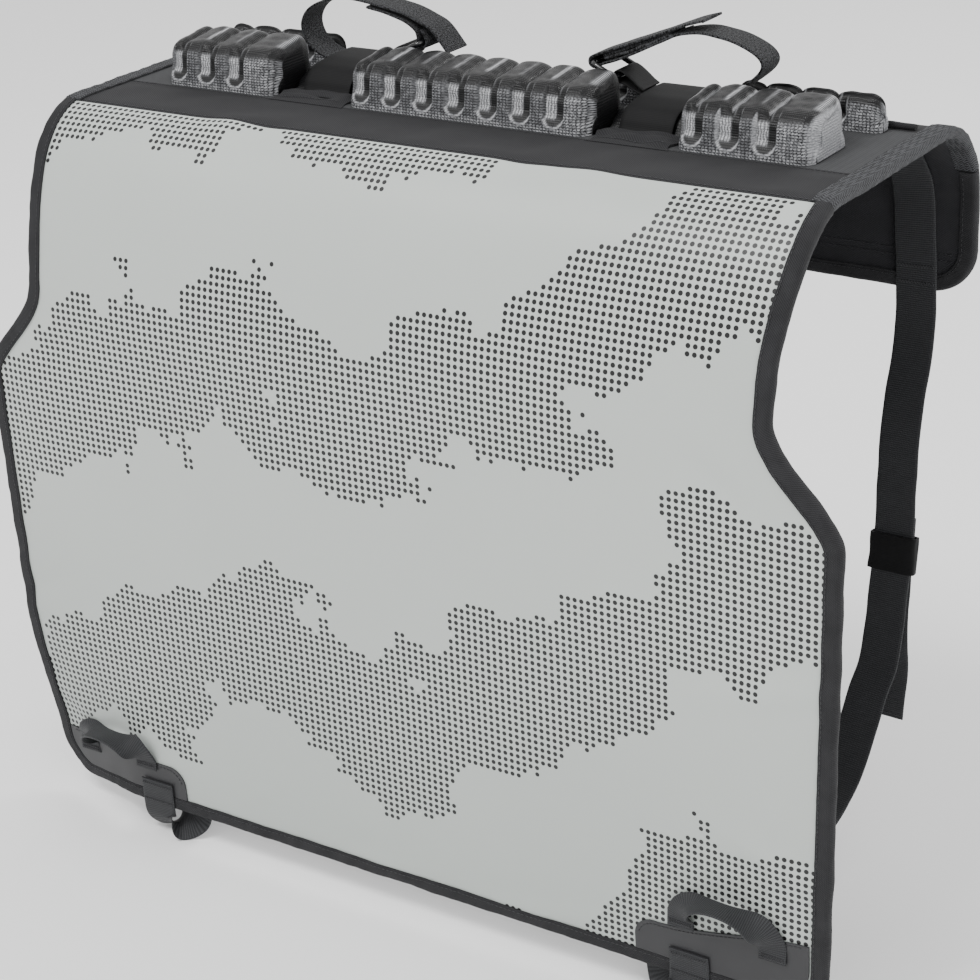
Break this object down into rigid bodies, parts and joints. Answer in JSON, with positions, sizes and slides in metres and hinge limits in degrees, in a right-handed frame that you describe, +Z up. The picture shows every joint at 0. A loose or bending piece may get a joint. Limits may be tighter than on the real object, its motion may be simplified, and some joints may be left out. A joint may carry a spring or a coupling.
{
  "type": "tailgate bike pad",
  "caption": "Padded cover that hangs over a pickup tailgate, with ridged foam rests, hook-and-loop straps for bikes, and webbing that holds it on.",
  "frame": {"origin": "middle of the flat underside of the top, which rests on the tailgate's top edge", "axes": "+X to the right along the tailgate, +Y from the outer panel towards the rear flap, +Z up"},
  "size_m": [0.688, 0.3246, 0.6236],
  "materials": {
    "printed_tarpaulin": "semi-matt grey-green coated cloth with a fine vertical weave and a printed dot pattern",
    "dark_tarpaulin": "smooth dark coated cloth",
    "band_twill": "matt charcoal twill",
    "binding_tape": "fuzzy folded tape, charcoal",
    "ribbed_knit": "chunky grey rib knit",
    "ridge_mesh": "black and silver mesh over moulded foam, satin",
    "lining": "near-black matt lining",
    "foam": "closed-cell foam",
    "webbing": "flat black webbing, fine cross ribs",
    "smooth_webbing": "smooth dark grey webbing",
    "hook_tape": "fuzzy hook-and-loop tape",
    "ring_plastic": "glossy black moulded plastic"
  },
  "bodies": {
    "root": {"front_tarpaulin": "printed_tarpaulin", "front_foam": "foam", "front_lining": "lining", "front_binding": "binding_tape", "top_band": "band_twill", "top_panel": "ribbed_knit", "top_foam": "foam", "top_lining": "lining", "side_band_left": "ribbed_knit", "side_band_right": "ribbed_knit", "flap_shell": "band_twill", "flap_foam": "foam", "flap_lining": "lining", "flap_hem": "lining", "flap_binding": "binding_tape", "rear_piping": "binding_tape", "block_left": "ridge_mesh", "block_centre": "ridge_mesh", "block_right": "ridge_mesh", "rear_block_left": "ridge_mesh", "rear_block_centre": "ridge_mesh", "rear_block_right": "ridge_mesh", "saddle_pad_left": "ridge_mesh", "saddle_pad_right": "ridge_mesh", "saddle_band_left": "smooth_webbing", "saddle_band_right": "smooth_webbing", "bike_strap_left": "hook_tape", "bike_strap_right": "hook_tape", "hook_strip_left": "hook_tape", "strap_ring_left": "ring_plastic", "strap_ring_right": "ring_plastic", "ring_tab_left": "smooth_webbing", "ring_tab_right": "smooth_webbing", "corner_patch_left": "dark_tarpaulin", "corner_patch_right": "dark_tarpaulin", "corner_handle_left": "webbing", "corner_handle_right": "webbing", "corner_tab_left": "webbing", "corner_tab_right": "webbing", "tailgate_strap_left": "webbing", "tailgate_strap_right": "webbing", "strap_tail_left": "webbing", "strap_tail_right": "webbing", "strap_keeper_left": "webbing", "strap_keeper_right": "webbing"}
  },
  "joints": []
}
